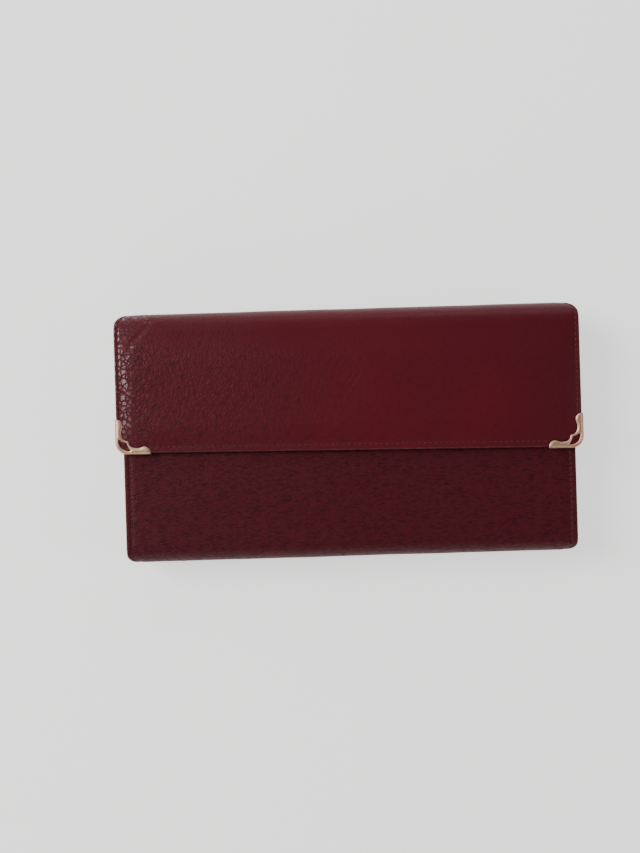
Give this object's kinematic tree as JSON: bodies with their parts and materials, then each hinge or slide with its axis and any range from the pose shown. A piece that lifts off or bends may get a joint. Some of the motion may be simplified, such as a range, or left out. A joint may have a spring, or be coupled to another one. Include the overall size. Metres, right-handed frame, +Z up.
{
  "type": "long flap wallet",
  "caption": "Long leather wallet lying on its back: folded cover with a flap and metal corners over a zipped coin pouch, card pockets and bill compartments.",
  "frame": {"origin": "on the surface the wallet lies on, under the middle of its outline", "axes": "+X along the wallet's length, to the right as its flap is seen; +Y from the bottom fold to the spine; +Z up, out of the flap"},
  "size_m": [0.1856, 0.0996, 0.0225],
  "materials": {
    "cover_leather": "pebble-grained bordeaux calf, polished by handling",
    "lining_leather": "smooth bordeaux lining leather",
    "board": "plain fibre board, hidden between the leathers",
    "thread": "waxed bordeaux sewing thread",
    "zip_tape": "woven bordeaux tape",
    "zip_metal": "pale gold plating",
    "gold_metal": "aged pale gold plating, worn matt"
  },
  "bodies": {
    "wallet_body": {"back_leather": "cover_leather", "back_board": "board", "back_lining": "lining_leather", "rear_gusset_left": "lining_leather", "rear_gusset_right": "lining_leather"},
    "pouch": {"pouch_leather": "lining_leather", "pouch_gusset_left": "lining_leather", "pouch_gusset_right": "lining_leather", "zip_tape_rear": "zip_tape", "zip_tape_front": "zip_tape", "zip_teeth_rear": "zip_metal", "zip_teeth_front": "zip_metal", "zip_stops": "zip_metal", "card_pocket_left_1": "lining_leather", "card_pocket_left_2": "lining_leather", "card_pocket_left_3": "lining_leather", "card_pocket_right_1": "lining_leather", "card_pocket_right_2": "lining_leather", "card_pocket_right_3": "lining_leather", "front_gusset_left": "lining_leather", "front_gusset_right": "lining_leather"},
    "front": {"front_leather": "cover_leather", "front_board": "board", "front_lining": "lining_leather", "front_thread": "thread", "snap_stud": "gold_metal", "snap_stud_rivet": "gold_metal"},
    "spine": {"spine_leather": "cover_leather", "spine_lining": "lining_leather"},
    "flap": {"flap_leather": "cover_leather", "flap_board": "board", "flap_lining": "lining_leather", "flap_thread": "thread", "corner_left": "gold_metal", "corner_right": "gold_metal", "snap_socket": "gold_metal", "snap_cap": "gold_metal"},
    "slider": {"zip_slider": "zip_metal", "pull_pin": "zip_metal"},
    "pull": {"zip_pull": "zip_metal"}
  },
  "joints": [
    {"name": "spine_fold", "type": "hinge", "parent": "wallet_body", "child": "spine", "pos_m": [0, 0.04808, 0.00172], "axis": [-1, 0, 0], "range_deg": [0, 89]},
    {"name": "flap_fold", "type": "hinge", "parent": "spine", "child": "flap", "pos_m": [0, 0.04808, 0.02048], "axis": [-1, 0, 0], "range_deg": [0, 89]},
    {"name": "pouch_swing", "type": "hinge", "parent": "wallet_body", "child": "pouch", "pos_m": [0, -0.0438, 0.0195], "axis": [1, 0, 0], "range_deg": [0, 6], "deforming": ["rear_gusset_left", "rear_gusset_right"]},
    {"name": "front_swing", "type": "hinge", "parent": "pouch", "child": "front", "pos_m": [0, -0.0438, 0.0195], "axis": [1, 0, 0], "range_deg": [0, 6], "deforming": ["front_gusset_left", "front_gusset_right"]},
    {"name": "zip_slide", "type": "slide", "parent": "pouch", "child": "slider", "axis": [1, 0, 0], "range_m": [0, 0.14]},
    {"name": "pull_swing", "type": "hinge", "parent": "slider", "child": "pull", "pos_m": [-0.07, 0.03078, 0.009], "axis": [0, 0, 1], "range_deg": [0, 180]}
  ],
  "couplings": [
    {"joint": "spine_fold", "follows": "flap_fold", "ratio": 1},
    {"joint": "pouch_swing", "follows": "flap_fold", "ratio": 0.0666},
    {"joint": "front_swing", "follows": "flap_fold", "ratio": 0.0666}
  ]
}
